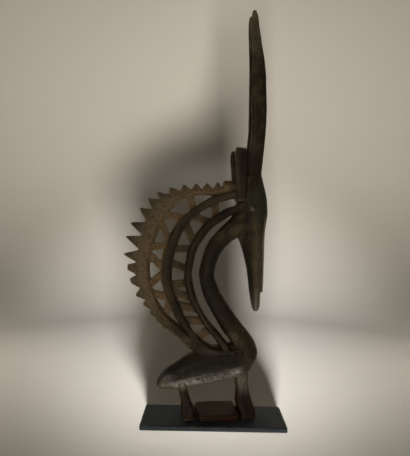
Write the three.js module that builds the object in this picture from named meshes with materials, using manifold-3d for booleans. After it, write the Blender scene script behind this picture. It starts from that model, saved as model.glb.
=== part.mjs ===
// A carved antelope crest of the Bamana kind, standing on a painted steel plate, with a wood block
// lying between its feet. Millimetres, +Z up. The origin is the middle of the plate's underside.
// The antelope looks along +X and stands turned a little on the plate.

import * as THREE from "three";
import { mergeVertices } from "three/addons/utils/BufferGeometryUtils.js";
import Module from "manifold-3d";

const wasm = await Module();
wasm.setup();

// Driving dimensions, in millimetres and degrees.
const figureHeight = 694;
const turnOnPlate = 7.5;
const setBack = 5;
const plateLength = 240;
const plateDepth = 90;
const plateThickness = 8;
const plateChamfer = 0.8;
const plateCornerRadius = 2;
const blockHeight = 10.5;
const blockDepth = 66;
const blockEdgeRound = 2.2;
const blockCornerRadius = 5;
const blockToFoot = 2.5;
const seatGap = 0.3;

// The figure is carved freehand, so its outline and depths are drawn in thousandths of its height:
// x forward from the middle of the stance, z up from the soles, depth to each side of the middle.
const unit = figureHeight / 1000;

// Each row is one cross-section: x and z of one edge, x and z of the other edge, half the depth.
const neckRows = [
  [75, 460, 58, 523, 23],
  [53, 438, 36, 488, 22],
  [32, 425, 7, 460, 20],
  [9, 395, -23, 421, 20],
  [-3, 355, -40, 361, 20],
  [1, 329, -38, 328, 20],
  [20, 290, -25, 285, 22],
  [58, 236, 17, 212, 26],
  [82, 207, 36, 188, 29],
  [101, 178, 53, 159, 30],
  [105, 155, 61, 130, 29],
];
const innerArcRows = [
  [65, 509, 61, 532, 22],
  [51, 503, 46, 519, 20],
  [29, 490, 20, 510, 19],
  [-13, 461, -29, 475, 19],
  [-36, 429, -55, 441, 19],
  [-51, 400, -69, 412, 19],
  [-58, 358, -78, 361, 19],
  [-58, 335, -78, 332, 19],
  [-46, 288, -68, 293, 20],
  [-22, 243, -43, 247, 22],
  [6, 210, -17, 208, 25],
  [29, 182, 3, 184, 26],
  [49, 159, 23, 145, 26],
];
const outerArcRows = [
  [69, 523, 66, 561, 20],
  [51, 536, 46, 558, 19],
  [13, 527, 3, 546, 17],
  [-20, 513, -30, 530, 17],
  [-49, 493, -64, 506, 16],
  [-72, 468, -92, 483, 16],
  [-91, 435, -114, 447, 16],
  [-104, 390, -132, 397, 16],
  [-108, 350, -136, 352, 16],
  [-105, 315, -130, 314, 17],
  [-94, 289, -117, 283, 17],
  [-77, 250, -100, 243, 19],
  [-56, 212, -77, 214, 20],
  [-32, 188, -52, 182, 22],
  [-7, 171, -22, 156, 23],
  [20, 156, 6, 136, 23],
];
// The toothed band: each row from the fourth on is two teeth further along the rim.
const bandRows = [
  [64, 545, 58, 582, 16],
  [36, 543, 32, 580, 14],
  [17, 541, 15, 578, 13],
  [12, 541, 11, 561, 13],
  [-39, 543, -39, 556, 12],
  [-76, 536, -91, 551, 12],
  [-110, 508, -142, 529, 12],
  [-139, 460, -173, 475, 12],
  [-158, 402, -189, 406, 12],
  [-161, 349, -194, 345, 13],
  [-146, 292, -171, 285, 14],
  [-122, 254, -146, 243, 15],
  [-98, 232, -118, 215, 17],
  [-74, 214, -92, 193, 19],
  [-46, 192, -62, 165, 22],
  [-16, 174, -26, 148, 25],
  [22, 169, 16, 143, 27],
  [66, 172, 62, 142, 27],
];
// The body runs from the rump to the chest: bottom edge first, then the back.
const bodyRows = [
  [-140, 76, -140, 83, 6],
  [-132, 71, -135, 98, 16],
  [-112, 71, -118, 115, 22],
  [-90, 72, -95, 130, 25],
  [-58, 77, -61, 153, 28],
  [-17, 84, -14, 168, 30],
  [26, 92, 29, 175, 30],
  [61, 98, 72, 188, 30],
  [88, 112, 100, 176, 26],
  [100, 131, 106, 163, 17],
  [105, 144, 108, 153, 6],
];
// Upright forms: height, rear edge, front edge, half the depth.
const headRows = [
  [614, 70, 108, 24],
  [592, 59, 111, 29],
  [564, 52, 118, 32],
  [535, 49, 124, 33],
  [506, 49, 126, 33],
  [477, 51, 124, 32],
  [451, 53, 120, 30],
  [434, 57, 118, 29],
  [412, 66, 115, 27],
  [366, 78, 114, 22],
  [315, 85, 113, 17],
  [277, 91, 113, 13],
  [262, 94, 111, 10],
  [255, 98, 107, 6],
];
const ridgeRows = [
  [490, 104, 119, 5],
  [465, 106, 123, 7],
  [420, 106, 122, 7],
  [302, 106, 121, 7],
];
const hornRows = [
  [570, 74, 106, 11],
  [594, 72, 107, 11],
  [629, 74, 110, 11],
  [666, 77, 113, 11],
  [708, 81, 116, 11],
  [757, 81, 117, 11],
  [844, 81, 114, 10],
  [906, 79, 105, 9],
  [961, 77, 95, 8],
  [988, 77, 91, 6],
  [1000, 79, 86, 3],
];
const earRows = [
  [659, 46, 63, 4],
  [653, 38, 67, 6],
  [607, 40, 68, 7],
  [578, 42, 68, 7],
  [556, 45, 68, 7],
  [530, 50, 66, 6],
];
const rearLegRows = [
  [95, -92, -68, 9],
  [62, -87, -65, 9],
  [48, -82, -59, 9],
  [33, -79, -55, 9],
  [19, -78, -48, 10],
  [0, -77, -45, 11],
];
const frontLegRows = [
  [125, 52, 82, 9],
  [79, 56, 84, 9],
  [59, 59, 87, 9],
  [33, 58, 94, 9],
  [16, 62, 100, 10],
  [0, 65, 100, 11],
];

// Sideways places of the paired forms, from the middle to the middle of each, top then bottom.
const hornSpread = [16, 17];
const earSpread = [32, 24];
const legSpread = [13, 23];

// Struts: where each leaves the outer of its two arcs and where it meets the inner one, counted in
// rows of those arcs from the head down.
const outerStruts = [
  [4.75, 3.9],
  [6.4, 4.9],
  [6.85, 6.3],
  [7.8, 6.6],
  [8.2, 7.65],
  [9.4, 8.2],
  [9.85, 9.75],
  [11.05, 10.2],
];
const innerStruts = [
  [2.55, 2.5],
  [4.2, 2.9],
  [5.1, 4.3],
  [6.6, 5.05],
  [7.4, 5.95],
  [8.8, 7.2],
  [9.45, 8.05],
  [10.5, 8.65],
  [11.4, 9.35],
  [12.75, 9.95],
];
const strutWidth = 18;
const strutSink = 8;
const outerStrutHalfDepth = 9;
const innerStrutHalfDepth = 12;

// The teeth are cut by eye, so each leans its own way, as a share of its width towards the head.
const toothLeans = [0.1, 0, 0, -0.15, -0.3, -0.4, 0, 0.2, 0.1, 0.2, 0, 0.15, 0.2, 0.1, 0.2, 0.1, 0, 0];
const firstToothRow = 3;
const toothLong = 36;
const toothShort = 15;
const toothLow = 4;
const longestTooth = 9;
const toothSink = 8;
const sharpTip = 3;
const wornTip = 12;
const wornShare = 0.75;
const wornTeeth = [11, 12];

// Each eye is a low oval boss: its middle, and half its size along x, y and z.
const eyeMiddle = [86, 31, 512];
const eyeHalf = [7, 5, 10];

// Cross-sections, as shares of half the width and half the depth, running once round.
const mirrored = (half) => [...half, ...half.map(([a, b]) => [a, -b]).reverse()];
const barSection = mirrored([[-1, 0.45], [-0.5, 1], [0.5, 1], [1, 0.45]]);
const roundSection = mirrored([[-1, 0.3], [-0.72, 0.8], [-0.2, 1], [0.3, 1], [0.75, 0.75], [1, 0.28]]);
const bodySection = mirrored([[-1, 0.6], [-0.36, 0.98], [0, 1], [0.5, 0.9], [0.84, 0.62], [1, 0.25]]);
const headSection = mirrored([[-1, 0.3], [-0.35, 0.97], [0.3, 1], [0.8, 0.72], [1, 0.36]]);
const hornSection = mirrored([[-1, 0.4], [-0.6, 0.95], [0.5, 1], [1, 0.35]]);
const legSection = mirrored([[-1, 0.5], [-0.55, 1], [0.55, 1], [1, 0.5]]);

// Follows one column of the rows smoothly. Places are counted in rows, from 0 for the first.
function follow(rows, column) {
  const curve = new THREE.SplineCurve(rows.map((row, i) => new THREE.Vector2(i, row[column])));
  return (place) => curve.getPoint(place / (rows.length - 1)).y;
}

// A point on one of the two edges of a form, 0 for the first edge and 1 for the second.
function edgePoint(rows, edge, place) {
  return new THREE.Vector2(follow(rows, 2 * edge)(place), follow(rows, 2 * edge + 1)(place));
}

// Turns upright rows into rows of cross-sections.
const upright = (rows) => rows.map(([z, rear, front, half]) => [rear, z, front, z, half]);

// Six times the signed volume under a list of triangles, which tells whether the faces point outwards.
function signedVolume(points, triangles) {
  let volume = 0;
  for (let i = 0; i < triangles.length; i += 3) {
    const [a, b, c] = [points[triangles[i]], points[triangles[i + 1]], points[triangles[i + 2]]];
    volume += a.dot(new THREE.Vector3().crossVectors(b, c));
  }
  return volume;
}

// A closed surface over a run of rings with the same number of points each, shut by a fan at each end.
function skin(rings) {
  const around = rings[0].length;
  const points = rings.flat();
  const triangles = [];
  for (let i = 0; i + 1 < rings.length; i += 1) {
    for (let j = 0; j < around; j += 1) {
      const [a, b] = [i * around + j, i * around + ((j + 1) % around)];
      triangles.push(a, b, b + around, a, b + around, a + around);
    }
  }
  for (const end of [0, rings.length - 1]) {
    const middle = points.length;
    const centre = rings[end].reduce((sum, point) => sum.add(point), new THREE.Vector3());
    points.push(centre.divideScalar(around));
    for (let j = 0; j < around; j += 1) {
      const [a, b] = [end * around + j, end * around + ((j + 1) % around)];
      triangles.push(...(end === 0 ? [b, a, middle] : [a, b, middle]));
    }
  }
  if (signedVolume(points, triangles) < 0) {
    triangles.reverse();
  }
  const geometry = new THREE.BufferGeometry().setFromPoints(points);
  geometry.setIndex(triangles);
  return geometry;
}

// The geometry as a solid that can be joined with others.
function solid(geometry) {
  geometry.deleteAttribute("normal");
  geometry.deleteAttribute("uv");
  const merged = mergeVertices(geometry, 1e-4);
  return new wasm.Manifold(new wasm.Mesh({
    numProp: 3,
    vertProperties: new Float32Array(merged.attributes.position.array),
    triVerts: new Uint32Array(merged.index.array),
  }));
}

// A carved limb: its section drawn at steps along the rows. The side is the sign of a paired form,
// and spread is how far its middle stands from the figure's middle at the first and the last row.
function limb(rows, section, steps, side = 0, spread = [0, 0]) {
  const columns = [0, 1, 2, 3, 4].map((column) => follow(rows, column));
  const rings = [];
  for (let i = 0; i <= steps; i += 1) {
    const share = i / steps;
    const [x1, z1, x2, z2, half] = columns.map((value) => value(share * (rows.length - 1)));
    const middle = side * THREE.MathUtils.lerp(spread[0], spread[1], share);
    rings.push(section.map(([a, b]) => new THREE.Vector3(
      (x1 + x2) / 2 + (a * (x2 - x1)) / 2,
      middle + b * half,
      (z1 + z2) / 2 + (a * (z2 - z1)) / 2,
    ).multiplyScalar(unit)));
  }
  return solid(skin(rings));
}

// A straight strut between two points of the mane, sunk a little into the arc at each end.
function strut(from, to, halfDepth) {
  const along = new THREE.Vector2().subVectors(to, from);
  const length = along.length() + 2 * strutSink;
  const box = new THREE.BoxGeometry(length * unit, 2 * halfDepth * unit, strutWidth * unit);
  const middle = new THREE.Vector2().addVectors(from, to).multiplyScalar(unit / 2);
  box.rotateY(-along.angle());
  box.translate(middle.x, 0, middle.y);
  return solid(box);
}

// How far a tooth stands out: short by the head, long at the back of the mane, low by the body.
function toothLength(index) {
  const rise = THREE.MathUtils.smoothstep(index, 2, longestTooth);
  const fall = THREE.MathUtils.smoothstep(index, longestTooth, toothLeans.length - 2);
  return index <= longestTooth
    ? THREE.MathUtils.lerp(toothShort, toothLong, rise * rise)
    : THREE.MathUtils.lerp(toothLong, toothLow, fall);
}

// A tooth of the rim between two notches, ending in a small flat.
function tooth(index, length, lean, flat) {
  const upper = firstToothRow + index / 2;
  const lower = upper + 0.5;
  const [a, b] = [upper, lower].map((place) => edgePoint(bandRows, 1, place));
  const inner = edgePoint(bandRows, 0, (upper + lower) / 2);
  const halfDepth = follow(bandRows, 4)((upper + lower) / 2);
  const along = new THREE.Vector2().subVectors(b, a);
  const middle = new THREE.Vector2().addVectors(a, b).multiplyScalar(0.5);
  const out = new THREE.Vector2(along.y, -along.x).normalize();
  out.multiplyScalar(Math.sign(out.dot(new THREE.Vector2().subVectors(middle, inner))));
  const ring = (reach, share, width, depth) => {
    const centre = middle.clone().addScaledVector(out, reach).addScaledVector(along, -share);
    return [[-1, -1], [1, -1], [1, 1], [-1, 1]].map(([p, q]) => new THREE.Vector3(
      centre.x + p * width * along.x,
      q * depth * halfDepth,
      centre.y + p * width * along.y,
    ).multiplyScalar(unit));
  };
  return solid(skin([
    ring(-toothSink, 0, 0.5, 0.9),
    ring(0.5, 0, 0.47, 0.92),
    ring(length, lean, flat / along.length() / 2, 0.6),
  ]));
}

function eye(side) {
  const boss = new THREE.SphereGeometry(1, 10, 8);
  boss.scale(...eyeHalf);
  boss.translate(eyeMiddle[0], side * eyeMiddle[1], eyeMiddle[2]);
  boss.scale(unit, unit, unit);
  return solid(boss);
}

function carvedFigure() {
  const parts = [
    limb(upright(headRows), headSection, 26),
    limb(upright(ridgeRows), barSection, 6),
    limb(neckRows, roundSection, 26),
    limb(innerArcRows, barSection, 30),
    limb(outerArcRows, barSection, 34),
    limb(bandRows, barSection, 38),
    limb(bodyRows, bodySection, 22),
  ];
  for (const side of [-1, 1]) {
    parts.push(limb(upright(hornRows), hornSection, 20, side, hornSpread));
    parts.push(limb(upright(earRows), barSection, 8, side, earSpread));
    parts.push(limb(upright(rearLegRows), legSection, 8, side, legSpread));
    parts.push(limb(upright(frontLegRows), legSection, 8, side, legSpread));
    parts.push(eye(side));
  }
  for (const [outer, inner] of outerStruts) {
    const ends = [edgePoint(bandRows, 0, outer), edgePoint(outerArcRows, 1, inner)];
    parts.push(strut(...ends, outerStrutHalfDepth));
  }
  for (const [outer, inner] of innerStruts) {
    const ends = [edgePoint(outerArcRows, 0, outer), edgePoint(innerArcRows, 1, inner)];
    parts.push(strut(...ends, innerStrutHalfDepth));
  }
  toothLeans.forEach((lean, index) => {
    const [share, tip] = wornTeeth.includes(index) ? [wornShare, wornTip] : [1, sharpTip];
    parts.push(tooth(index, toothLength(index) * share, lean, tip));
  });
  return parts.reduce((whole, part) => whole.add(part));
}

// A named mesh of a solid, flat shaded, in one plain material.
function piece(name, shape, colour, roughness, metalness) {
  const mesh = shape.getMesh();
  const geometry = new THREE.BufferGeometry();
  geometry.setAttribute("position", new THREE.BufferAttribute(mesh.vertProperties, 3));
  geometry.setIndex(new THREE.BufferAttribute(mesh.triVerts, 1));
  geometry.computeVertexNormals();
  const material = new THREE.MeshStandardMaterial({ color: colour, roughness, metalness });
  material.flatShading = true;
  const named = new THREE.Mesh(geometry, material);
  named.name = name;
  return named;
}

// A slab lying on z = 0 with rounded corners seen from above and softened edges.
function slab(length, depth, height, corner, edge, edgeSegments) {
  const [x, y] = [length / 2 - edge, depth / 2 - edge];
  const outline = new THREE.Shape();
  outline.moveTo(x - corner, -y);
  outline.absarc(x - corner, -y + corner, corner, -Math.PI / 2, 0);
  outline.absarc(x - corner, y - corner, corner, 0, Math.PI / 2);
  outline.absarc(-x + corner, y - corner, corner, Math.PI / 2, Math.PI);
  outline.absarc(-x + corner, -y + corner, corner, Math.PI, (3 * Math.PI) / 2);
  const geometry = new THREE.ExtrudeGeometry(outline, {
    depth: height - 2 * edge,
    bevelThickness: edge,
    bevelSize: edge,
    bevelSegments: edgeSegments,
    curveSegments: 4,
  });
  geometry.translate(0, 0, edge);
  return solid(geometry);
}

const plate = slab(plateLength, plateDepth, plateThickness, plateCornerRadius, plateChamfer, 1);

// The block fills the space between the rear toes and the front heels, less a small gap at each end.
const rearToe = Math.max(...rearLegRows.slice(-2).map(([, , front]) => front)) * unit;
const frontHeel = Math.min(...frontLegRows.slice(-2).map(([, rear]) => rear)) * unit;
const blockFront = frontHeel - blockToFoot;
const blockRear = rearToe + blockToFoot;
const block = slab(blockFront - blockRear, blockDepth, blockHeight, blockCornerRadius, blockEdgeRound, 3);

const onPlate = new THREE.Group();
onPlate.position.set(0, setBack, plateThickness + seatGap);
onPlate.rotation.z = THREE.MathUtils.degToRad(turnOnPlate);
const figureMesh = piece("figure", carvedFigure(), 0x3a3020, 0.62, 0);
const blockMesh = piece("foot_block", block, 0x49301f, 0.5, 0);
blockMesh.position.x = (blockFront + blockRear) / 2;
onPlate.add(figureMesh, blockMesh);

const group = new THREE.Group();
group.add(piece("base_plate", plate, 0x2e2f2d, 0.45, 0.6), onPlate);

export default group;
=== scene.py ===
# %% [markdown]
# A carved antelope crest and its portrait.
# The imported model gives the true sizes and places of three pieces: the carved figure, the small wood
# block between its feet and the steel plate. They are the frame for everything below, so the frame is
# loaded first and its box is kept.

# %% Load the frame
import math
import bmesh
import bpy
import numpy as np
from mathutils import Matrix, Vector, kdtree
from mathutils.bvhtree import BVHTree


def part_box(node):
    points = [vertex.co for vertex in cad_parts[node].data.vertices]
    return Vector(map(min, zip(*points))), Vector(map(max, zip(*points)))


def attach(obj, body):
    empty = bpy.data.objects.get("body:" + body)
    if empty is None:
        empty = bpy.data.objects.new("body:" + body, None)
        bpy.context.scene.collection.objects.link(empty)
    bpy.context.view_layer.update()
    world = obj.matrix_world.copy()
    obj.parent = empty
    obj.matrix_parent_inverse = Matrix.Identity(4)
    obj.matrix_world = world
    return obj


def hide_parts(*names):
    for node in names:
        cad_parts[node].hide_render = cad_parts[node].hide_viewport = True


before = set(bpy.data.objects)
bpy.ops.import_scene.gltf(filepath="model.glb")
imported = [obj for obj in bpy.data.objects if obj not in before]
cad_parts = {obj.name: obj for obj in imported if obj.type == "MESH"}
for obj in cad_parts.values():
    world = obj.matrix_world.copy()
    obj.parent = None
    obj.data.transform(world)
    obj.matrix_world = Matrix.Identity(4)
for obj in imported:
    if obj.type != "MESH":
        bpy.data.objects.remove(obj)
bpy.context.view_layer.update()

MM = 0.001

# %% [markdown]
# The antelope stands turned a little on its plate, so it has a frame of its own: x towards the way it
# looks, z up from its soles, in thousandths of its height. Colours and tool marks are placed in that
# frame, because they follow the carving and not the plate.

# %% The figure's own frame
TURN = math.radians(7.5)
SET_BACK = 5 * MM
figure_low, figure_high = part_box("figure")
plate_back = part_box("base_plate")[1].y
UNIT = (figure_high.z - figure_low.z) / 1000
FIGURE_FRAME = Matrix.Translation((0, SET_BACK, figure_low.z)) @ Matrix.Rotation(TURN, 4, "Z")


def in_figure_frame(points):
    """Points in metres, as rows, to thousandths of the figure's height in its own frame."""
    back = np.array(FIGURE_FRAME.inverted())
    return (points @ back[:3, :3].T + back[:3, 3]) / UNIT


print("figure height in mm:", round(1000 * UNIT / MM, 1))

# %% [markdown]
# The camera is level with the bend of the neck and close by, which is why the top of the plate shows
# and the horns do not lean. It is rolled by about a degree. The lens is worked out from the focal
# length in pixels that fits the plate's edges and the tips of the horns.

# %% Camera
PICTURE = (410, 456)
FOCAL_PIXELS = 450
SENSOR = 36
ROLL = math.radians(1.07)
CAMERA_AT = Vector((-19.6, -770.0, 328.6)) * MM

camera = bpy.data.objects.new("camera", bpy.data.cameras.new("camera"))
bpy.context.scene.collection.objects.link(camera)
camera.location = CAMERA_AT
camera.rotation_euler = (math.pi / 2, -ROLL, 0)
camera.data.sensor_width = SENSOR
camera.data.lens = FOCAL_PIXELS / max(PICTURE) * SENSOR
bpy.context.scene.camera = camera
print("lens in mm:", round(camera.data.lens, 2))

# %% [markdown]
# The stage is one pale bowl of paper: flat under the plate and rising in a wide curve all round, as the
# rounded wall of a small studio does. A flat sheet that is bent up at the back would do for one view.
# The crest is looked at from all round, and the bowl has no line between floor and wall on any side.

# %% Paper bowl
BOWL_FLAT = 0.9
BOWL_BEND = 0.6
BOWL_TOP = 3.0
BOWL_STEPS = 72
BEND_STEPS = 12


def bowl_section():
    """The bowl's section as (radius, height) pairs from the flat to the top."""
    bend = [math.pi / 2 * i / BEND_STEPS for i in range(BEND_STEPS + 1)]
    return [(BOWL_FLAT + BOWL_BEND * math.sin(angle), BOWL_BEND * (1 - math.cos(angle))) for angle in bend] \
        + [(BOWL_FLAT + BOWL_BEND, BOWL_TOP)]


around = [2 * math.pi * k / BOWL_STEPS for k in range(BOWL_STEPS)]
section = bowl_section()
corners = [(radius * math.sin(angle), radius * math.cos(angle), height)
           for radius, height in section for angle in around]
faces = [tuple(range(BOWL_STEPS))[::-1]]
for ring in range(len(section) - 1):
    for k in range(BOWL_STEPS):
        here, there = ring * BOWL_STEPS + k, ring * BOWL_STEPS + (k + 1) % BOWL_STEPS
        faces.append((here, there, there + BOWL_STEPS, here + BOWL_STEPS))
bowl_mesh = bpy.data.meshes.new("paper_bowl")
bowl_mesh.from_pydata(corners, [], faces)
bowl_mesh.shade_smooth()
bowl = bpy.data.objects.new("paper_bowl", bowl_mesh)
bpy.context.scene.collection.objects.link(bowl)
print("bowl faces:", len(bowl_mesh.polygons))

# %% [markdown]
# Colours are written as sRGB hex, the way they are read off a swatch, and one function turns them into
# the linear values that a shader works with. One more small function adds a node of any kind with its
# settings and its links and gives back one of its sockets, so that each material and each tree below
# reads as a list of what is laid over what. A node that mixes colours has its share, its two colours
# and its result at numbered sockets, and those numbers are named here.

# %% Colour and node helpers
FACTOR, UNDER, OVER, MIXED = 0, 6, 7, 2


def linear(hex_colour):
    """An sRGB hex colour as linear red, green, blue and a full alpha."""
    values = [int(hex_colour[i:i + 2], 16) / 255 for i in (1, 3, 5)]
    return [v / 12.92 if v <= 0.04045 else ((v + 0.055) / 1.055) ** 2.4 for v in values] + [1.0]


def add(tree, kind, inputs=None, out=0, **settings):
    """Adds a node. Each input is a plain value or a socket to link from. Returns an output socket."""
    made = tree.nodes.new(kind)
    for name, value in settings.items():
        setattr(made, name, value)
    for key, value in (inputs or {}).items():
        if isinstance(value, bpy.types.NodeSocket):
            tree.links.new(value, made.inputs[key])
        else:
            made.inputs[key].default_value = value
    return made.outputs[out] if made.outputs else made


def new_material(name):
    """A material with its tree, its shader and the place that patterns are drawn in."""
    material = bpy.data.materials.new(name)
    material.use_nodes = True
    tree = material.node_tree
    return material, tree, tree.nodes["Principled BSDF"], add(tree, "ShaderNodeTexCoord", out="Object")


print("mid grey in linear light:", round(linear("#808080")[0], 3))

# %% [markdown]
# The bowl is matt paper with no gloss to speak of. Its own colour is a middle grey and its lamps are
# strong: it looks pale, and still throws little light back into the shadow behind the figure. The lamp
# below the table has to reach the figure through it, so the bowl casts no shadow.

# %% Material: matt paper
paper, tree, shader, place = new_material("matt_paper")
shader.inputs["Base Color"].default_value = linear("#8f8b84")
shader.inputs["Roughness"].default_value = 0.9
shader.inputs["Specular IOR Level"].default_value = 0.1
bowl_mesh.materials.append(paper)
bowl.visible_shadow = False
print("paper:", paper.name)

# %% [markdown]
# The figure is one piece of hard wood, carved with an adze and a knife. Three patterns run through it:
# the grain, which runs up the figure as it ran up the tree, the blotches where oil soaked in, and the
# pores. Their sizes are real ones in millimetres, except the pores, which are drawn a little coarser
# than true so that they show in a picture of the whole figure.

# %% Oiled and smoked carved hardwood: its patterns
GRAIN_WIDTH = 3.2 * MM
GRAIN_LENGTH = 60 * MM
BLOTCH = 26 * MM
PORE = 3.2 * MM


def wood_patterns(tree, place):
    """The grain, the blotches and the pores."""
    along = add(tree, "ShaderNodeMapping",
                {"Vector": place, "Scale": (1 / GRAIN_WIDTH, 1 / GRAIN_WIDTH, 1 / GRAIN_LENGTH)})
    grain = add(tree, "ShaderNodeTexNoise", {"Vector": along, "Scale": 1, "Detail": 4, "Roughness": 0.6})
    blotches = add(tree, "ShaderNodeTexNoise",
                   {"Vector": place, "Scale": 1 / BLOTCH, "Detail": 5, "Roughness": 0.62})
    pores = add(tree, "ShaderNodeTexNoise", {"Vector": place, "Scale": 1 / PORE, "Detail": 2, "Roughness": 0.7})
    return grain, blotches, pores


print("grain in mm:", round(GRAIN_WIDTH / MM, 1), "wide,", round(GRAIN_LENGTH / MM), "long")

# %% [markdown]
# The wood was blackened with oil and smoke and handled for years. Oil and soot fill the low places,
# which are painted darker for that and as painted shade, and hands and rubbing take the colour off
# the edges down to ochre and grey wood. Every spot could be painted by hand. Here each layer has a
# mask on the points of the mesh, painted later and read by name, and the blotches break it up, so
# that no patch ends in a clean line.

# %% Oiled and smoked carved hardwood: its colour
GRAIN_DARK, GRAIN_LIGHT, OILED = "#1d160a", "#322811", "#120e07"
RUBBED, SOOT_AND_SHADE, PIT = "#6a5a40", "#0f0b06", "#0f0c07"
PATINA_LAYERS = [
    ("ochre", "#524736"),
    ("amber", "#4f3f29"),
    # The pale layer is a painted highlight on the belly's bevel, muzzle, nasal ridge, thighs and eyes, and bare grey
    # wood at the horn tips.
    ("bare_tips_and_painted_highlight", "#625b4c"),
    ("red", "#28160b"),
    ("green", "#25281c"),
    ("sooty", "#0f0b04"),
]


def wood_colour(tree, masks, grain, blotches, pores):
    """Streaks and oil stains, the patina's layers over them, then worn edges, soot with painted shade in the
    hollows, and pores.
    """
    streaks = add(tree, "ShaderNodeMapRange",
                  {"Value": grain, "From Min": 0.3, "From Max": 0.7, "To Min": 0, "To Max": 1})
    colour = add(tree, "ShaderNodeMix", {FACTOR: streaks, UNDER: linear(GRAIN_DARK), OVER: linear(GRAIN_LIGHT)},
                 out=MIXED, data_type="RGBA")
    cloud = add(tree, "ShaderNodeMapRange",
                {"Value": blotches, "From Min": 0.36, "From Max": 0.66, "To Min": 0, "To Max": 1})
    colour = add(tree, "ShaderNodeMix", {FACTOR: cloud, UNDER: linear(OILED), OVER: colour},
                 out=MIXED, data_type="RGBA")
    layers = []
    for name, over in PATINA_LAYERS:
        broken = add(tree, "ShaderNodeMath", {0: masks[name], 1: blotches}, operation="ADD")
        amount = add(tree, "ShaderNodeMapRange",
                     {"Value": broken, "From Min": 0.55, "From Max": 1.35, "To Min": 0, "To Max": 0.95})
        layers.append((amount, over))
    worn = add(tree, "ShaderNodeMath", {0: masks["rubbed"], 1: streaks}, operation="MULTIPLY")
    pitted = add(tree, "ShaderNodeMapRange",
                 {"Value": pores, "From Min": 0.34, "From Max": 0.54, "To Min": 0.6, "To Max": 0})
    # The hollows and the cut walls are darkened: soot that stays there, and painted shade.
    for amount, over in layers + [(worn, RUBBED), (masks["soot_and_painted_shade"], SOOT_AND_SHADE), (pitted, PIT)]:
        colour = add(tree, "ShaderNodeMix", {FACTOR: amount, UNDER: colour, OVER: linear(over)},
                     out=MIXED, data_type="RGBA")
    return colour


print("patina layers:", [name for name, _ in PATINA_LAYERS])

# %% [markdown]
# Oiled wood that hands have rubbed has a soft sheen, and dry pores have none. So roughness and gloss
# follow the pores and the handled places, and grain and pores raise and lower the skin a little. That
# low relief is too fine for the mesh, and a bump in the material is enough for it.

# %% Oiled and smoked carved hardwood: its surface
def carved_wood():
    """Dark oily patina over ochre wood, with grain, pores and worn edges."""
    material, tree, shader, place = new_material("oiled_smoked_carved_hardwood")
    masks = {name: add(tree, "ShaderNodeAttribute", out="Fac", attribute_name=name)
             for name in [layer for layer, _ in PATINA_LAYERS] + ["rubbed", "soot_and_painted_shade", "handled"]}
    grain, blotches, pores = wood_patterns(tree, place)
    tree.links.new(wood_colour(tree, masks, grain, blotches, pores), shader.inputs["Base Color"])
    dull = add(tree, "ShaderNodeMapRange",
               {"Value": pores, "From Min": 0.35, "From Max": 0.65, "To Min": 0.7, "To Max": 0.42})
    rough = add(tree, "ShaderNodeMapRange",
                {"Value": masks["handled"], "From Min": 0, "From Max": 1, "To Min": dull, "To Max": 0.3})
    tree.links.new(rough, shader.inputs["Roughness"])
    gloss = add(tree, "ShaderNodeMapRange",
                {"Value": masks["handled"], "From Min": 0, "From Max": 1, "To Min": 0.12, "To Max": 0.5})
    tree.links.new(gloss, shader.inputs["Specular IOR Level"])
    height = add(tree, "ShaderNodeMath", {0: grain, 1: pores}, operation="ADD")
    bump = add(tree, "ShaderNodeBump", {"Strength": 0.7, "Distance": 0.9 * MM, "Height": height})
    tree.links.new(bump, shader.inputs["Normal"])
    return material


wood = carved_wood()
print("nodes in the wood:", len(wood.node_tree.nodes))

# %% [markdown]
# The skins below have up to a quarter of a million points, and all are moved at once. These helpers
# hand a mesh's points over as rows of numbers and take them back, which is far faster than going from
# point to point. Smoothing that pulls and pushes back in turn rounds the edges as handling does,
# without making thin parts such as the teeth any thinner.

# %% Helpers for mesh points
EDGE_TURNS = 14


def points_of(mesh):
    """The mesh's points in metres, as rows."""
    flat = np.empty(len(mesh.vertices) * 3, np.float32)
    mesh.vertices.foreach_get("co", flat)
    return flat.reshape(-1, 3).astype(float)


def normals_of(mesh):
    """The outward direction at each point, as rows."""
    flat = np.empty(len(mesh.vertices) * 3, np.float32)
    mesh.vertex_normals.foreach_get("vector", flat)
    return flat.reshape(-1, 3).astype(float)


def move_points(mesh, points):
    """Puts the mesh's points where the rows say."""
    mesh.vertices.foreach_set("co", points.astype(np.float32).ravel())
    mesh.update()


def smoothed(mesh, values, turns, pushes=(0.5,)):
    """Averages rows of values over the mesh's edges, turn by turn, by the given pushes."""
    ends = np.empty(len(mesh.edges) * 2, np.int32)
    mesh.edges.foreach_get("vertices", ends)
    first, second = ends.reshape(-1, 2).T
    size = len(mesh.vertices)
    degree = np.maximum(np.bincount(first, minlength=size) + np.bincount(second, minlength=size), 1)
    result = np.array(values, float).reshape(size, -1)
    for _ in range(turns):
        for push in pushes:
            mean = np.stack([
                (np.bincount(first, column[second], size) + np.bincount(second, column[first], size)) / degree
                for column in result.T], axis=1)
            result += push * (mean - result)
    return result if np.ndim(values) > 1 else result[:, 0]


def standing_out(mesh):
    """How far each point stands out of the smoothed skin around it, in metres."""
    points = points_of(mesh)
    return np.einsum("ij,ij->i", points - smoothed(mesh, points, EDGE_TURNS), normals_of(mesh))


print("top of the bowl in m:", round(float(points_of(bowl_mesh)[:, 2].max()), 2))

# %% [markdown]
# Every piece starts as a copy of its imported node, because that already has the true outline. Its faces
# are long and sharp, so a voxel remesh gives it an even skin of small ones. Modifiers could stay live,
# but each is settled into a plain mesh at once, and the next step works on the real points.

# %% Helpers for pieces
WELD = 0.005 * MM


def piece_from(mesh, name):
    """A new object in the scene that holds the mesh."""
    piece = bpy.data.objects.new(name, mesh)
    bpy.context.scene.collection.objects.link(piece)
    return piece


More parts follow.
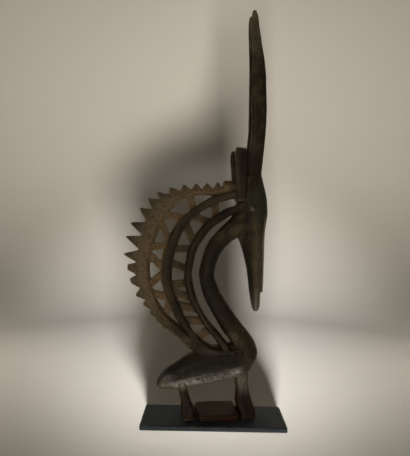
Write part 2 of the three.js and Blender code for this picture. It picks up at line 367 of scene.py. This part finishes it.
def settle(piece):
    """Turns what the piece's modifiers make into its own plain mesh."""
    depsgraph = bpy.context.evaluated_depsgraph_get()
    mesh = bpy.data.meshes.new_from_object(piece.evaluated_get(depsgraph))
    piece.modifiers.clear()
    piece.data = mesh


def modify(piece, kind, **settings):
    """Adds a modifier with its settings and settles it at once."""
    modifier = piece.modifiers.new(kind.lower(), kind)
    for name, value in settings.items():
        setattr(modifier, name, value)
    settle(piece)


def skinned_copy(node, name, voxel):
    """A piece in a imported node's shape, its double points merged and its skin remade in even faces."""
    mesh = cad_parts[node].data.copy()
    mesh.materials.clear()
    work = bmesh.new()
    work.from_mesh(mesh)
    bmesh.ops.remove_doubles(work, verts=work.verts, dist=WELD)
    work.to_mesh(mesh)
    work.free()
    piece = piece_from(mesh, name)
    modify(piece, "REMESH", mode="VOXEL", voxel_size=voxel)
    return piece


def soften(piece, turns, pushes):
    """Rounds the piece's edges, turn by turn."""
    move_points(piece.data, smoothed(piece.data, points_of(piece.data), turns, pushes))


def finish_in(piece, material):
    """Gives the whole piece one material and smooth shading, and says how large its mesh is."""
    piece.data.materials.clear()
    piece.data.materials.append(material)
    piece.data.shade_smooth()
    print(piece.name, "points:", len(piece.data.vertices))


print("packed nodes:", sorted(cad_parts))

# %% [markdown]
# The figure's skin is fine enough to hold each tooth, strut and tool mark, and is softened as a whole,
# because years of handling took the sharpness off every edge. Subdivision would round the long flat
# faces of the solid unevenly.

# %% Remesh and soften the figure
FINE_VOXEL = 1.15 * MM
figure = skinned_copy("figure", "carved_antelope", FINE_VOXEL)
soften(figure, turns=6, pushes=(0.5, -0.52))
print("fine skin:", len(figure.data.vertices), "points")

# %% [markdown]
# Tool marks and patina change from one part of the crest to the next. Those zones are told by where a
# point lies in the figure's own frame: how near it is to a line of x and z, or between two values.

# %% Helpers for zones
MANE_LINE = [(60, 560), (-40, 530), (-130, 440), (-150, 350), (-110, 270), (-40, 190)]


def near_line(places, line, reach):
    """1 on a line of x and z points, falling to 0 at the reach."""
    flat = places[:, (0, 2)]
    best = np.full(len(flat), np.inf)
    for a, b in zip(np.array(line[:-1], float), np.array(line[1:], float)):
        share = np.clip((flat - a) @ (b - a) / ((b - a) @ (b - a)), 0, 1)
        best = np.minimum(best, np.linalg.norm(flat - a - share[:, None] * (b - a), axis=1))
    return np.clip(1 - best / reach, 0, 1)


def rises(values, low, high):
    """0 below low, 1 above high, smooth in between."""
    share = np.clip((values - low) / (high - low), 0, 1)
    return share * share * (3 - 2 * share)


def paint(mesh, name, values):
    """Stores one mask on the mesh's points."""
    mask = mesh.attributes.new(name, "FLOAT", "POINT")
    mask.data.foreach_set("value", np.clip(values, 0, 1).astype(np.float32))


print("10 away from a line that reaches 20:", near_line(np.array([[10, 0, 0]]), [(0, -1), (0, 1)], 20)[0])

# %% [markdown]
# An adze leaves small, nearly flat cuts that lie next to each other. Each one is made from a point
# picked at random on the skin: every other point moves towards the flat of its nearest picked points,
# and where two flats meet they pass into each other over a narrow worn ridge. Points on the far side
# of a thin bar are kept apart by also comparing which way they face.

# %% Adze cuts
CUT_SPACING = 9.5 * MM
CUT_LIMIT = 0.6 * MM
CUT_STRETCH = 0.6
CUT_RIDGE = 0.09
CUT_SHARE = 0.85
CUTS_COMPARED = 3
FACING_REACH = 14 * MM
MANE_REACH = 90
MANE_SPARED = 0.75


def cut_facets(mesh, spacing, share, seed):
    """Flattens the skin into cuts about as wide as the spacing, shallower on the mane's thin bars."""
    points, normals = points_of(mesh), smoothed(mesh, normals_of(mesh), turns=3)
    normals /= np.linalg.norm(normals, axis=1)[:, None]
    area = sum(face.area for face in mesh.polygons)
    count = int(area * CUT_STRETCH / spacing ** 2)
    picked = np.random.default_rng(seed).choice(len(points), count, replace=False)
    keys = points * (1, 1, CUT_STRETCH) + FACING_REACH * normals
    tree = kdtree.KDTree(count)
    for i, key in enumerate(keys[picked]):
        tree.insert(key, i)
    tree.balance()
    found = [tree.find_n(key, CUTS_COMPARED) for key in keys]
    nearest = picked[[[hit[1] for hit in hits] for hits in found]]
    distance = np.array([[hit[2] for hit in hits] for hits in found])
    weight = np.exp((distance[:, :1] - distance) / (CUT_RIDGE * spacing))
    rise = np.einsum("ikj,ikj->ik", points[nearest] - points[:, None], normals[nearest])
    rise = (weight * np.clip(share * rise, -CUT_LIMIT, CUT_LIMIT)).sum(1) / weight.sum(1)
    rise *= 1 - MANE_SPARED * rises(near_line(in_figure_frame(points), MANE_LINE, MANE_REACH), 0.1, 0.4)
    move_points(mesh, points + normals * rise[:, None])
    return count


print("adze cuts:", cut_facets(figure.data, CUT_SPACING, CUT_SHARE, seed=4))
soften(figure, turns=1, pushes=(0.4, -0.3))

# %% [markdown]
# Notches and knife lines follow paths, so Geometry Nodes make the shapes that cut them. Each tree has
# named inputs for its sizes, is run on a path, and ends as a plain mesh.

# %% Helpers for trees
def new_tree(name, sizes):
    """A Geometry Nodes tree with named inputs for its sizes, and those inputs' sockets."""
    tree = bpy.data.node_groups.new(name, "GeometryNodeTree")
    tree.interface.new_socket("Geometry", in_out="INPUT", socket_type="NodeSocketGeometry")
    for size in sizes:
        tree.interface.new_socket(size, in_out="INPUT", socket_type="NodeSocketFloat")
    tree.interface.new_socket("Geometry", in_out="OUTPUT", socket_type="NodeSocketGeometry")
    return tree, tree.nodes.new("NodeGroupInput").outputs


def close_tree(tree, shape):
    """Ends a tree with real faces in the figure's wood."""
    real = add(tree, "GeometryNodeRealizeInstances", {0: shape})
    add(tree, "NodeGroupOutput", {0: add(tree, "GeometryNodeSetMaterial", {"Geometry": real, "Material": wood})})


def grown(piece, tree, sizes):
    """Runs a tree on a piece, with its inputs set by name, and keeps the result as a plain mesh."""
    modifier = piece.modifiers.new(tree.name, "NODES")
    modifier.node_group = tree
    for socket in tree.interface.items_tree:
        if socket.name in sizes:
            modifier[socket.identifier] = sizes[socket.name]
    settle(piece)
    return piece


print("wood for the cut walls:", wood.name)

# %% [markdown]
# A path is drawn as x and z in the figure's own frame and dropped sideways onto the skin, from both
# sides, by rays. Each point also keeps the skin's outward direction there, evened along the path,
# because a knife is held steady while the adze cuts under it are not even.

# %% Helpers for paths on the skin
PATH_EVEN = 5
PATH_STEP = 0.05
RAY_START = 100


def skin_of(piece):
    """The piece's skin, ready to be hit by rays."""
    work = bmesh.new()
    work.from_mesh(piece.data)
    skin = BVHTree.FromBMesh(work)
    work.free()
    return skin


def evened(rows):
    """Rows along a path, each the mean of its neighbours on both sides."""
    reach = min(PATH_EVEN, len(rows) // 2)
    groups = [rows[max(0, i - reach):i + reach + 1] for i in range(len(rows))]
    return [sum(group, Vector()) / len(group) for group in groups]


def paths_on_skin(skin, paths):
    """Drops paths, given as x and z in the figure's own frame, sideways onto its skin as a wire."""
    points, edges, outward = [], [], []
    for side in (-1, 1):
        inward = FIGURE_FRAME.to_3x3() @ Vector((0, -side, 0))
        for path in paths:
            rows = np.array(path, float)
            steps = np.arange(0, len(rows) - 1 + 1e-6, PATH_STEP)
            hits = []
            for x, z in zip(*(np.interp(steps, range(len(rows)), column) for column in rows.T)):
                start = FIGURE_FRAME @ (Vector((x, RAY_START * side, z)) * UNIT)
                place, normal, _, _ = skin.ray_cast(start, inward)
                if place is not None:
                    hits.append((place, normal))
            edges += [(len(points) + i, len(points) + i + 1) for i in range(len(hits) - 1)]
            points += evened([place for place, _ in hits])
            outward += evened([normal for _, normal in hits])
    mesh = bpy.data.meshes.new("path")
    mesh.from_pydata(points, edges, [])
    stored = mesh.attributes.new("outward", "FLOAT_VECTOR", "POINT")
    stored.data.foreach_set("vector", np.array(outward, np.float32).ravel())
    return piece_from(mesh, "path")


skin = skin_of(figure)
print("points from corner to corner of a path:", round(1 / PATH_STEP))

# %% [markdown]
# A cut is taken out of the figure with a Boolean, which leaves true V-shaped walls. Where it was is
# noted too, because its walls are painted dark, for the soot that gathers there and as painted shade.

# %% Helper for taking a cut away
cuts = bmesh.new()


def carve_away(piece, cutter):
    """Takes the cutter's shape out of the piece, notes where it was and throws the cutter away."""
    cuts.from_mesh(cutter.data)
    modify(piece, "BOOLEAN", operation="DIFFERENCE", solver="MANIFOLD", object=cutter)
    bpy.data.objects.remove(cutter)


print("cut walls so far:", len(cuts.faces))

# %% [markdown]
# Below the belly a row of short notches is cut into the bevel, and fainter marks stand in two rows on
# the rump. A small four-sided bar is set across the path at every step, one corner down, as a knife
# enters the wood. The bars differ a little in size, by a fixed seed.

# %% Knife notches
BAR_FACES = 6


def notch_tree():
    """Four-sided bars across a path, one corner down."""
    tree, given = new_tree("knife_notches", ("Spacing", "Length", "Width", "Lean"))
    line = add(tree, "GeometryNodeMeshToCurve", {"Mesh": given["Geometry"]})
    even = add(tree, "GeometryNodeResampleCurve", {"Curve": line, "Length": given["Spacing"]}, mode="LENGTH")
    outward = add(tree, "GeometryNodeInputNamedAttribute", {"Name": "outward"}, data_type="FLOAT_VECTOR")
    tangent = add(tree, "GeometryNodeInputTangent")
    across = add(tree, "ShaderNodeVectorMath", {0: tangent, 1: outward}, operation="CROSS_PRODUCT")
    lean = add(tree, "ShaderNodeVectorMath", {0: tangent, "Scale": given["Lean"]}, operation="SCALE")
    course = add(tree, "ShaderNodeVectorMath", {0: across, 1: lean}, operation="ADD")
    upright = add(tree, "FunctionNodeAlignRotationToVector", {"Vector": course}, axis="Z")
    turned = add(tree, "FunctionNodeAlignRotationToVector", {"Rotation": upright, "Vector": outward},
                 axis="X", pivot_axis="Z")
    bar = add(tree, "GeometryNodeMeshCylinder",
              {"Vertices": 4, "Radius": given["Width"], "Depth": given["Length"]})
    uneven = add(tree, "FunctionNodeRandomValue", {0: (0.75, 0.75, 0.7), 1: (1.15, 1.15, 1.15), "Seed": 5},
                 data_type="FLOAT_VECTOR")
    bars = add(tree, "GeometryNodeInstanceOnPoints",
               {"Points": even, "Instance": bar, "Rotation": turned, "Scale": uneven})
    close_tree(tree, bars)
    return tree


NOTCHES = [
    ("belly notches", [[(-42, 93), (-13, 100), (11, 105), (33, 110)]], 4.5, 13.5, 1.0, 0.5),
    ("rump marks", [[(-128, 95), (-104, 101), (-70, 104)], [(-122, 108), (-98, 114), (-66, 117)]],
     5.2, 7, 0.7, -0.6),
]
notches = notch_tree()
for name, paths, spacing, length, width, lean in NOTCHES:
    cutter = grown(paths_on_skin(skin, paths), notches,
                   {"Spacing": spacing * MM, "Length": length * MM, "Width": width * MM, "Lean": lean})
    print(name + ":", len(cutter.data.polygons) // BAR_FACES)
    carve_away(figure, cutter)

# %% [markdown]
# Longer lines are a second kind of cut: the groove along the front leg, the line along the jaw, the
# ledge under the mane and the lines on the chest. A four-sided profile is swept along the path, thin
# at both ends, and wavers a little as a hand-held knife does.

# %% Knife lines
LINE_STEP = 2.5 * MM
LINE_WAVER = 1.5 * MM
WAVER_LENGTH = 9 * MM
TAPER = 0.35


def groove_tree():
    """A tapering four-sided sweep along a path."""
    tree, given = new_tree("knife_lines", ("Step", "Width", "Waver"))
    line = add(tree, "GeometryNodeMeshToCurve", {"Mesh": given["Geometry"]})
    even = add(tree, "GeometryNodeResampleCurve", {"Curve": line, "Length": given["Step"]}, mode="LENGTH")
    noise = add(tree, "ShaderNodeTexNoise", {"Scale": 1 / WAVER_LENGTH, "Detail": 2}, out="Color")
    middle = add(tree, "ShaderNodeVectorMath", {0: noise, 1: (0.5, 0.5, 0.5)}, operation="SUBTRACT")
    shift = add(tree, "ShaderNodeVectorMath", {0: middle, "Scale": given["Waver"]}, operation="SCALE")
    wavy = add(tree, "GeometryNodeSetPosition", {"Geometry": even, "Offset": shift})
    share = add(tree, "GeometryNodeSplineParameter")
    rest = add(tree, "ShaderNodeMath", {0: 1, 1: share}, operation="SUBTRACT")
    arch = add(tree, "ShaderNodeMath", {0: share, 1: rest}, operation="MULTIPLY")
    taper = add(tree, "ShaderNodeMath", {0: arch, 1: TAPER}, operation="POWER")
    ring = add(tree, "GeometryNodeCurvePrimitiveCircle", {"Resolution": 4, "Radius": given["Width"]})
    swept = add(tree, "GeometryNodeCurveToMesh",
                {"Curve": wavy, "Profile Curve": ring, "Scale": taper, "Fill Caps": True})
    close_tree(tree, swept)
    return tree


grooves = groove_tree()
LINES = [
    ("leg groove", [[(72, 88), (72, 43), (73, 10)]], 1.0),
    ("jaw line", [[(99, 455), (103, 380), (106, 318)]], 0.8),
    ("ledge under the mane", [[(-58, 166), (-28, 158), (20, 152), (62, 164)]], 1.0),
    ("chest lines", [[(52, 182), (64, 166), (72, 150)], [(60, 186), (74, 168), (84, 148)]], 0.7),
]
for name, paths, width in LINES:
    cutter = grown(paths_on_skin(skin, paths), grooves,
                   {"Step": LINE_STEP, "Width": width * MM, "Waver": LINE_WAVER})
    print(name, "faces:", len(cutter.data.polygons))
    carve_away(figure, cutter)

# %% [markdown]
# The patina's zones follow the figure: the pale toothed band, the blackened body, neck, arcs and
# throat, the reddish feet, the greenish brow and the grey horn tips. The belly's bevel, muzzle, nasal
# ridge, thighs and eyes are painted lighter as a painted highlight, and hands keep the belly, rump,
# muzzle, ridge and thighs a little glossy. Most zones are a line and a reach, and the rest lie between
# two heights or depths. A mask is the strongest of its zones, each with its own share.

# %% Zones of the patina
ZONES = {
    "mane": (MANE_LINE, 70),
    "band": ([(20, 560), (-60, 545), (-120, 510), (-160, 440), (-175, 380), (-150, 290)], 64),
    "outer_arc": ([(66, 545), (8, 536), (-57, 500), (-103, 441), (-122, 351), (-105, 286), (-66, 213)], 24),
    "inner_arc": ([(60, 520), (-21, 468), (-60, 406), (-68, 333), (-57, 290), (-6, 209)], 24),
    "ears": ([(54, 540), (54, 660)], 30),
    "brow": ([(100, 545), (104, 500)], 34),
    "eyes": ([(81, 510), (84, 507)], 7),
    "cheek": ([(90, 480), (102, 400), (106, 320)], 24),
    "muzzle": ([(100, 290), (103, 255)], 30),
    "throat": ([(66, 414), (75, 380), (81, 336), (86, 294)], 16),
    "neck": ([(10, 210), (-25, 290), (-14, 370), (5, 400)], 36),
    "body": ([(-110, 115), (-40, 130), (40, 135)], 40),
    "flank_spot": ([(-14, 124), (-10, 126)], 14),
    "rump": ([(-125, 98), (-110, 96)], 18),
    "belly": ([(-125, 80), (-80, 82), (0, 99), (60, 110)], 17),
    "thighs": ([(62, 100), (72, 70)], 26),
}
MASKS = {
    "ochre": {"band": 0.85, "cheek": 0.5},
    "amber": {"inner_mane": 1},
    # The pale mask paints a highlight on the belly's bevel, muzzle, nasal ridge, thighs and eyes, and bare grey wood
    # at the horn tips.
    "bare_tips_and_painted_highlight": {"belly": 0.57, "tips": 0.5, "muzzle": 0.4, "ridge": 0.7, "thighs": 0.5, "eyes": 0.7},
    "red": {"feet": 1, "flank_spot": 1},
    "green": {"brow": 1},
    "sooty": {"body": 1, "neck": 1, "arcs": 0.5, "ears": 0.7, "horns": 0.2, "legs": 0.5, "throat": 1},
    "handled": {"belly": 1, "rump": 1, "muzzle": 1, "ridge": 1, "thighs": 0.7},
}


def zones_of(places):
    """How deep each point lies in each zone, from 0 to 1."""
    x, y, z = places.T
    zones = {name: near_line(places, line, reach) for name, (line, reach) in ZONES.items()}
    zones["inner_mane"] = zones["mane"] * (1 - rises(np.abs(y), 10, 17))
    zones["arcs"] = rises(np.maximum(zones["outer_arc"], zones["inner_arc"]), 0.25, 0.6)
    zones["tips"] = rises(z, 820, 1000)
    zones["horns"] = rises(z, 540, 600) * (1 - rises(z, 760, 900))
    zones["ridge"] = rises(x, 113, 119) * rises(z, 280, 300) * (1 - rises(z, 480, 500))
    zones["legs"] = 1 - rises(z, 50, 90)
    zones["feet"] = 1 - rises(z, 40, 80)
    return zones


print("zones with a line:", len(ZONES), "masks from zones:", len(MASKS))

# %% [markdown]
# Two more masks come from the skin itself. Points that stand out of it are edges, which rub bare.
# Points that lie deep are hollows, painted dark for the soot and oil that stay there and as painted
# shade, and so are the walls of the knife cuts, which are found by their distance to the shapes that
# were cut away and are darkened so that the cuts show.

# %% Masks for the patina
EDGE_RISE = 0.35 * MM
CUT_WALL_REACH = 0.15 * MM


def paint_patina(mesh):
    """Paints the masks that the wood material reads."""
    points, rise = points_of(mesh), standing_out(mesh)
    paint(mesh, "rubbed", rises(rise, 0.8 * EDGE_RISE, 2.6 * EDGE_RISE))
    # The cut walls and the deep points are painted dark: soot, and painted shade that makes the cuts show.
    cut_walls = BVHTree.FromBMesh(cuts)
    in_cut = [cut_walls.find_nearest(point, CUT_WALL_REACH)[3] is not None for point in points]
    cut_soot_and_shade = np.array(in_cut) * rises(-rise, -0.2 * EDGE_RISE, 0.8 * EDGE_RISE)
    paint(mesh, "soot_and_painted_shade", np.maximum(cut_soot_and_shade, rises(-rise, 0.4 * EDGE_RISE, 2.0 * EDGE_RISE)))
    zones = zones_of(in_figure_frame(points))
    for mask, shares in MASKS.items():
        paint(mesh, mask, np.max([share * zones[name] for name, share in shares.items()], axis=0))


paint_patina(figure.data)
print("masks painted:", sorted(MASKS) + ["rubbed", "soot_and_painted_shade"])

# %% [markdown]
# The fine skin is heavier than a part in a shared library should be. Decimate merges faces where the
# skin is flat and leaves them where it is cut. A Boolean can leave a loose chip or a face that hangs
# by one edge, so the figure's largest connected part is kept and nothing else.

# %% A lighter skin
MOST_TRIANGLES = 190000


def triangles_in(piece):
    """How many triangles the piece's faces make."""
    return sum(len(face.vertices) - 2 for face in piece.data.polygons)


def drop_chips(piece):
    """Drops faces that hang by one edge and all but the largest connected part. Returns the count."""
    work = bmesh.new()
    work.from_mesh(piece.data)
    hanging = [face for face in work.faces if sum(len(edge.link_faces) == 1 for edge in face.edges) > 1]
    bmesh.ops.delete(work, geom=hanging, context="FACES")
    unseen, parts = set(work.verts), []
    while unseen:
        part = [unseen.pop()]
        for point in part:
            near = {edge.other_vert(point) for edge in point.link_edges} & unseen
            part.extend(near)
            unseen -= near
        parts.append(part)
    parts.sort(key=len)
    bmesh.ops.delete(work, geom=[point for part in parts[:-1] for point in part], context="VERTS")
    work.to_mesh(piece.data)
    work.free()
    return len(hanging) + len(parts) - 1


modify(figure, "DECIMATE", ratio=MOST_TRIANGLES / triangles_in(figure))
print("loose chips dropped:", drop_chips(figure))
finish_in(figure, wood)
print("figure triangles:", triangles_in(figure))

# %% [markdown]
# Between the feet lies a flat block of smooth, reddish wood, planed and rubbed until its edges are
# round. Planing leaves long, quiet streaks of grain and rubbing a dull sheen. The faces towards the
# front and the right end are painted redder, by which way they face. The grain runs along the block,
# so the pattern is turned with it.

# %% Foot block: satin planed red wood
BLOCK_GRAIN_LENGTH = 45 * MM
BLOCK_GRAIN_WIDTH = 2 * MM


def satin_block():
    """Smooth reddish wood with its grain along the block."""
    material, tree, shader, place = new_material("satin_planed_red_wood")
    along = add(tree, "ShaderNodeMapping", {
        "Vector": place, "Rotation": (0, 0, -TURN),
        "Scale": (1 / BLOCK_GRAIN_LENGTH, 1 / BLOCK_GRAIN_WIDTH, 1 / BLOCK_GRAIN_WIDTH)})
    grain = add(tree, "ShaderNodeTexNoise", {"Vector": along, "Scale": 1, "Detail": 4, "Distortion": 0.4})
    streaks = add(tree, "ShaderNodeMapRange",
                  {"Value": grain, "From Min": 0.32, "From Max": 0.68, "To Min": 0, "To Max": 1})
    colour = add(tree, "ShaderNodeMix", {FACTOR: streaks, UNDER: linear("#170f08"), OVER: linear("#281c10")},
                 out=MIXED, data_type="RGBA")
    # The faces towards the front and the right end are painted redder, by a mask painted from which way they face.
    rubbed = add(tree, "ShaderNodeAttribute", out="Fac", attribute_name="rubbed")
    colour = add(tree, "ShaderNodeMix", {FACTOR: rubbed, UNDER: colour, OVER: linear("#28150d")},
                 out=MIXED, data_type="RGBA")
    tree.links.new(colour, shader.inputs["Base Color"])
    shader.inputs["Roughness"].default_value = 0.45
    shader.inputs["Specular IOR Level"].default_value = 0.08
    bump = add(tree, "ShaderNodeBump", {"Strength": 0.3, "Distance": 0.2 * MM, "Height": grain})
    tree.links.new(bump, shader.inputs["Normal"])
    return material


red_wood = satin_block()
print("nodes in the red wood:", len(red_wood.node_tree.nodes))

# %% [markdown]
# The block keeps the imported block's size. A cloud pattern lets the faces of its skin swell and dip a
# little, as wood does that was finished by hand.

# %% Foot block: its shape and wear
BLOCK_VOXEL = 1.0 * MM
SWELL_WIDTH = 22 * MM
SWELL_HEIGHT = 0.5 * MM

block = skinned_copy("foot_block", "worn_foot_block", BLOCK_VOXEL)
soften(block, turns=6, pushes=(0.5, -0.5))
cloud = bpy.data.textures.new("cloud", "CLOUDS")
cloud.noise_scale = SWELL_WIDTH
modify(block, "DISPLACE", texture=cloud, strength=SWELL_HEIGHT, mid_level=0.5, texture_coords="LOCAL")
# The faces towards the front and the right end are painted redder, picked by which way they face.
facing = normals_of(block.data)
front_or_end = rises(np.maximum(-facing[:, 1], facing[:, 0]), 0.2, 1.0)
paint(block.data, "rubbed", front_or_end * rises(points_of(block.data)[:, 0], -20 * MM, 40 * MM))
finish_in(block, red_wood)

# %% [markdown]
# The plate is flat steel, cut to length, its edges broken with a file and painted a dark slate grey.
# Satin paint gives the eye a soft, even light with faint scuffs, and it chips and rubs thin along the
# edges first.

# %% Base plate: slate painted steel
PAINT_CLOUD = 30 * MM
SCUFF_LENGTH = 30 * MM
SCUFF_WIDTH = 1.5 * MM


def slate_paint():
    """Satin slate paint on steel, thin at the edges, with faint scuffs along its length."""
    material, tree, shader, place = new_material("slate_painted_steel")
    soft = add(tree, "ShaderNodeTexNoise", {"Vector": place, "Scale": 1 / PAINT_CLOUD, "Detail": 4})
    along = add(tree, "ShaderNodeMapping", {"Vector": place, "Scale": (1 / SCUFF_LENGTH, 1 / SCUFF_WIDTH, 1)})
    scuffs = add(tree, "ShaderNodeTexNoise", {"Vector": along, "Scale": 1, "Detail": 3})
    blend = add(tree, "ShaderNodeMapRange",
                {"Value": soft, "From Min": 0.35, "From Max": 0.65, "To Min": 0, "To Max": 1})
    colour = add(tree, "ShaderNodeMix", {FACTOR: blend, UNDER: linear("#181c1f"), OVER: linear("#23292d")},
                 out=MIXED, data_type="RGBA")
    faint = add(tree, "ShaderNodeMapRange",
                {"Value": scuffs, "From Min": 0.6, "From Max": 0.75, "To Min": 0, "To Max": 0.4})
    colour = add(tree, "ShaderNodeMix", {FACTOR: faint, UNDER: colour, OVER: linear("#484d50")},
                 out=MIXED, data_type="RGBA")
    rubbed = add(tree, "ShaderNodeAttribute", out="Fac", attribute_name="rubbed")
    worn = add(tree, "ShaderNodeMath", {0: rubbed, 1: blend}, operation="MULTIPLY")
    colour = add(tree, "ShaderNodeMix", {FACTOR: worn, UNDER: colour, OVER: linear("#2b3237")},
                 out=MIXED, data_type="RGBA")
    tree.links.new(colour, shader.inputs["Base Color"])
    rough = add(tree, "ShaderNodeMapRange",
                {"Value": soft, "From Min": 0.3, "From Max": 0.7, "To Min": 0.4, "To Max": 0.58})
    tree.links.new(rough, shader.inputs["Roughness"])
    shader.inputs["Specular IOR Level"].default_value = 0.12
    bump = add(tree, "ShaderNodeBump", {"Strength": 0.2, "Distance": 0.15 * MM, "Height": soft})
    tree.links.new(bump, shader.inputs["Normal"])
    return material


slate = slate_paint()
print("nodes in the paint:", len(slate.node_tree.nodes))

# %% [markdown]
# The plate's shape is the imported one, its edges only just broken. A bevel would do that too, but the
# wear needs points close together along the edge, and the remeshed skin has them.

# %% Base plate: its shape and wear
PLATE_VOXEL = 1.2 * MM
plate = skinned_copy("base_plate", "painted_base_plate", PLATE_VOXEL)
soften(plate, turns=2, pushes=(0.4, -0.3))
paint(plate.data, "rubbed", rises(standing_out(plate.data), 0.2 * EDGE_RISE, 1.5 * EDGE_RISE))
finish_in(plate, slate)

# %% [markdown]
# Each piece rides on the one body of the imported model and takes the place of one imported node,
# which is hidden. Nothing in the crest moves on its own.

# %% Pieces and their places
for piece, node, slot in ((figure, "figure", "carved_wood"), (block, "foot_block", "block_wood"),
                          (plate, "base_plate", "plate_paint")):
    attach(piece, "root")
    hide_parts(node)
    print(piece.name, "stands for", node, "in", slot)

# %% [markdown]
# A crest that stands close to its wall throws a deep shadow on it. The bowl's wall is far away, so
# cards at the back edge of the plate shade the paper instead: one in the crest's outline for the lamp
# that lights the wall, and a plain tall one for the lamp that lights the floor from higher up. No
# camera and no reflection sees them.

# %% Shading cards
CARD_GAP = 2 * MM
CARD_Y = plate_back + CARD_GAP


def shading_card(name, outline):
    """An upright card behind the crest, from x and z corners in millimetres."""
    mesh = bpy.data.meshes.new(name)
    mesh.from_pydata([(x * MM, CARD_Y, z * MM) for x, z in outline], [], [range(len(outline))])
    card = piece_from(mesh, name)
    card.visible_camera = card.visible_diffuse = card.visible_glossy = False
    print(name, "corners:", len(mesh.vertices))
    return card


outline_card = shading_card("outline_card", [
    (-120, 0), (-125, 60), (-100, 110), (-95, 170), (-135, 230), (-165, 290), (-165, 345),
    (-110, 405), (-50, 432), (10, 462), (36, 550), (46, 660), (70, 660),
    (80, 380), (100, 200), (112, 80), (120, 0)])
tall_card = shading_card("tall_card", [
    (-118, 0), (-128, 70), (-165, 200), (-165, 660), (90, 660), (90, 280), (118, 120), (118, 0)])

# %% [markdown]
# The room itself gives almost nothing: a weak warm glow from all sides keeps the deepest shadows from
# going black. Colours are shown as they are, without a film's curve, so the hex values above hold.

# %% Room
ROOM_TINT = "#e6d8bc"
ROOM_LEVEL = 0.03
bpy.context.scene.view_settings.view_transform = "Standard"
world = bpy.data.worlds.new("room")
bpy.context.scene.world = world
world.use_nodes = True
background = world.node_tree.nodes["Background"]
background.inputs["Color"].default_value = linear(ROOM_TINT)
background.inputs["Strength"].default_value = ROOM_LEVEL
print("room level:", ROOM_LEVEL)

# %% [markdown]
# The crest and the paper are lit apart, each by lamps that reach nothing else, because with one low
# lamp in a dim room the two are at different levels. Flags and cards would do that in a studio. Here
# each lamp is given the group that it lights and the group that shades it.

# %% Helpers for lamps
def group_of(name, *members):
    """A collection that lamps are linked to."""
    group = bpy.data.collections.new(name)
    for member in members:
        group.objects.link(member)
    return group


def soft_light(name, at, towards, size, power, colour, spread, group, shaded_by):
    """A square soft lamp that faces a point and lights one group only."""
    lamp = bpy.data.lights.new(name, "AREA")
    lamp.shape, lamp.size, lamp.energy = "SQUARE", size, power
    lamp.color = linear(colour)[:3]
    lamp.spread = math.radians(spread)
    holder = bpy.data.objects.new(name, lamp)
    bpy.context.scene.collection.objects.link(holder)
    holder.location = at
    holder.rotation_euler = (Vector(towards) - Vector(at)).to_track_quat("-Z", "Y").to_euler()
    holder.light_linking.receiver_collection = group
    holder.light_linking.blocker_collection = shaded_by
    print(name, "lights", group.name)
    return holder


print("lamps so far:", len(bpy.data.lights))

# %% [markdown]
# The crest gets a broad frontal lamp, a glow from below the table's edge that brings out the bevel
# under the belly, and two weak lamps behind it that draw its back for the other views. Those two stay
# out of its gloss, which would show them as white rims and as a sheen on the plate. The paper gets a
# low lamp in front, one for the floor behind the plate, one on each side for the floor beside it, and
# three for the sides of the bowl that only the other views show.

# %% Lamps
WARM_WHITE = "#fffaf2"
FULL_SPREAD = 180
crest = group_of("crest", figure, block, plate)
paper_stage = group_of("paper_stage", bowl)
with_outline_card = group_of("with_outline_card", outline_card)
with_tall_card = group_of("with_tall_card", tall_card)
CREST_LAMPS = [
    ("table_glow", (0.2, -0.6, -0.78), (0, -0.03, 0.12), 0.4, 7.5, "#fffaf0"),
    ("front_window", (-0.45, -1.15, 0.3), (0, 0, 0.25), 0.8, 8, "#fff4e4"),
    ("rear_left_window", (-0.7, 1.1, 0.5), (0, 0, 0.35), 0.8, 14, "#f6eedd"),
    ("rear_right_window", (0.6, 1.15, 0.4), (0, 0, 0.35), 0.8, 8, "#f6eedd"),
]
PAPER_LAMPS = [
    ("wall_lamp", CAMERA_AT + Vector((0.03, 0, -0.11)), (0, 1.5, 1.4), 0.16, 31, WARM_WHITE, 100, with_outline_card),
    ("floor_lamp", (0, -0.95, 0.7), (0, 0.85, 0), 0.2, 7.5, "#fbfbff", 42, with_tall_card),
    ("room_lamp", (0, 0.9, 1.9), (0, -1.5, 1.0), 0.6, 18, WARM_WHITE, 90, crest),
    ("left_floor_lamp", (-0.95, 0, 1.4), (-0.95, 0.1, 0), 0.6, 6, WARM_WHITE, 50, crest),
    ("right_floor_lamp", (0.95, 0, 1.4), (0.95, 0.1, 0), 0.6, 6, WARM_WHITE, 50, crest),
    ("left_wall_lamp", (-0.2, 0, 1.3), (-1.5, 0, 0.9), 0.6, 5, WARM_WHITE, 90, crest),
    ("right_wall_lamp", (0.2, 0, 1.3), (1.5, 0, 0.9), 0.6, 5, WARM_WHITE, 90, crest),
]
for name, at, towards, size, power, colour in CREST_LAMPS:
    lamp = soft_light(name, at, towards, size, power, colour, FULL_SPREAD, crest, crest)
    lamp.visible_glossy = at[1] < 0
for lamp in PAPER_LAMPS:
    soft_light(*lamp[:7], paper_stage, lamp[7])
